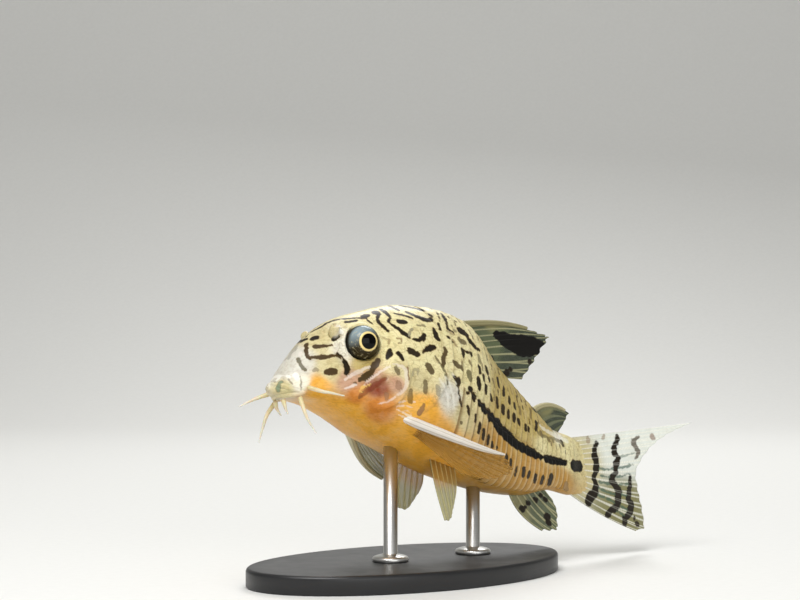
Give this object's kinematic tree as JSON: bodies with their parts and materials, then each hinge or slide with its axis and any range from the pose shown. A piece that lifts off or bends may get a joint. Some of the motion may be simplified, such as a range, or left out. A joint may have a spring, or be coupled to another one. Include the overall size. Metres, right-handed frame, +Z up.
{
  "type": "corydoras catfish display model",
  "caption": "Life-size still model of a small armoured catfish in a slow nose-up swim, on an oval foot with short steel rods.",
  "frame": {"origin": "centre of the stand foot's underside", "axes": "+X from the fish's snout to its tail, +Y to the fish's right side, +Z up"},
  "size_m": [0.0723, 0.027, 0.0348],
  "materials": {
    "skin": "satin, patterned brown on cream and amber",
    "membrane": "satin, pale",
    "eye": "polished",
    "foot": "satin black",
    "steel": "brushed"
  },
  "bodies": {
    "root": {"head": "skin", "torso": "skin", "tail": "skin", "fin_dorsal": "membrane", "fin_adipose": "membrane", "fin_caudal": "membrane", "fin_anal": "membrane", "fin_pectoral_left": "membrane", "fin_pectoral_right": "membrane", "fin_pelvic_left": "membrane", "fin_pelvic_right": "membrane", "barbel_upper_left": "membrane", "barbel_upper_right": "membrane", "barbel_lower_left": "membrane", "barbel_lower_right": "membrane", "barbel_chin_left": "membrane", "barbel_chin_right": "membrane", "eye_left": "eye", "eye_right": "eye", "stand_foot": "foot", "stand_rod_front": "steel", "stand_rod_rear": "steel"}
  },
  "joints": []
}
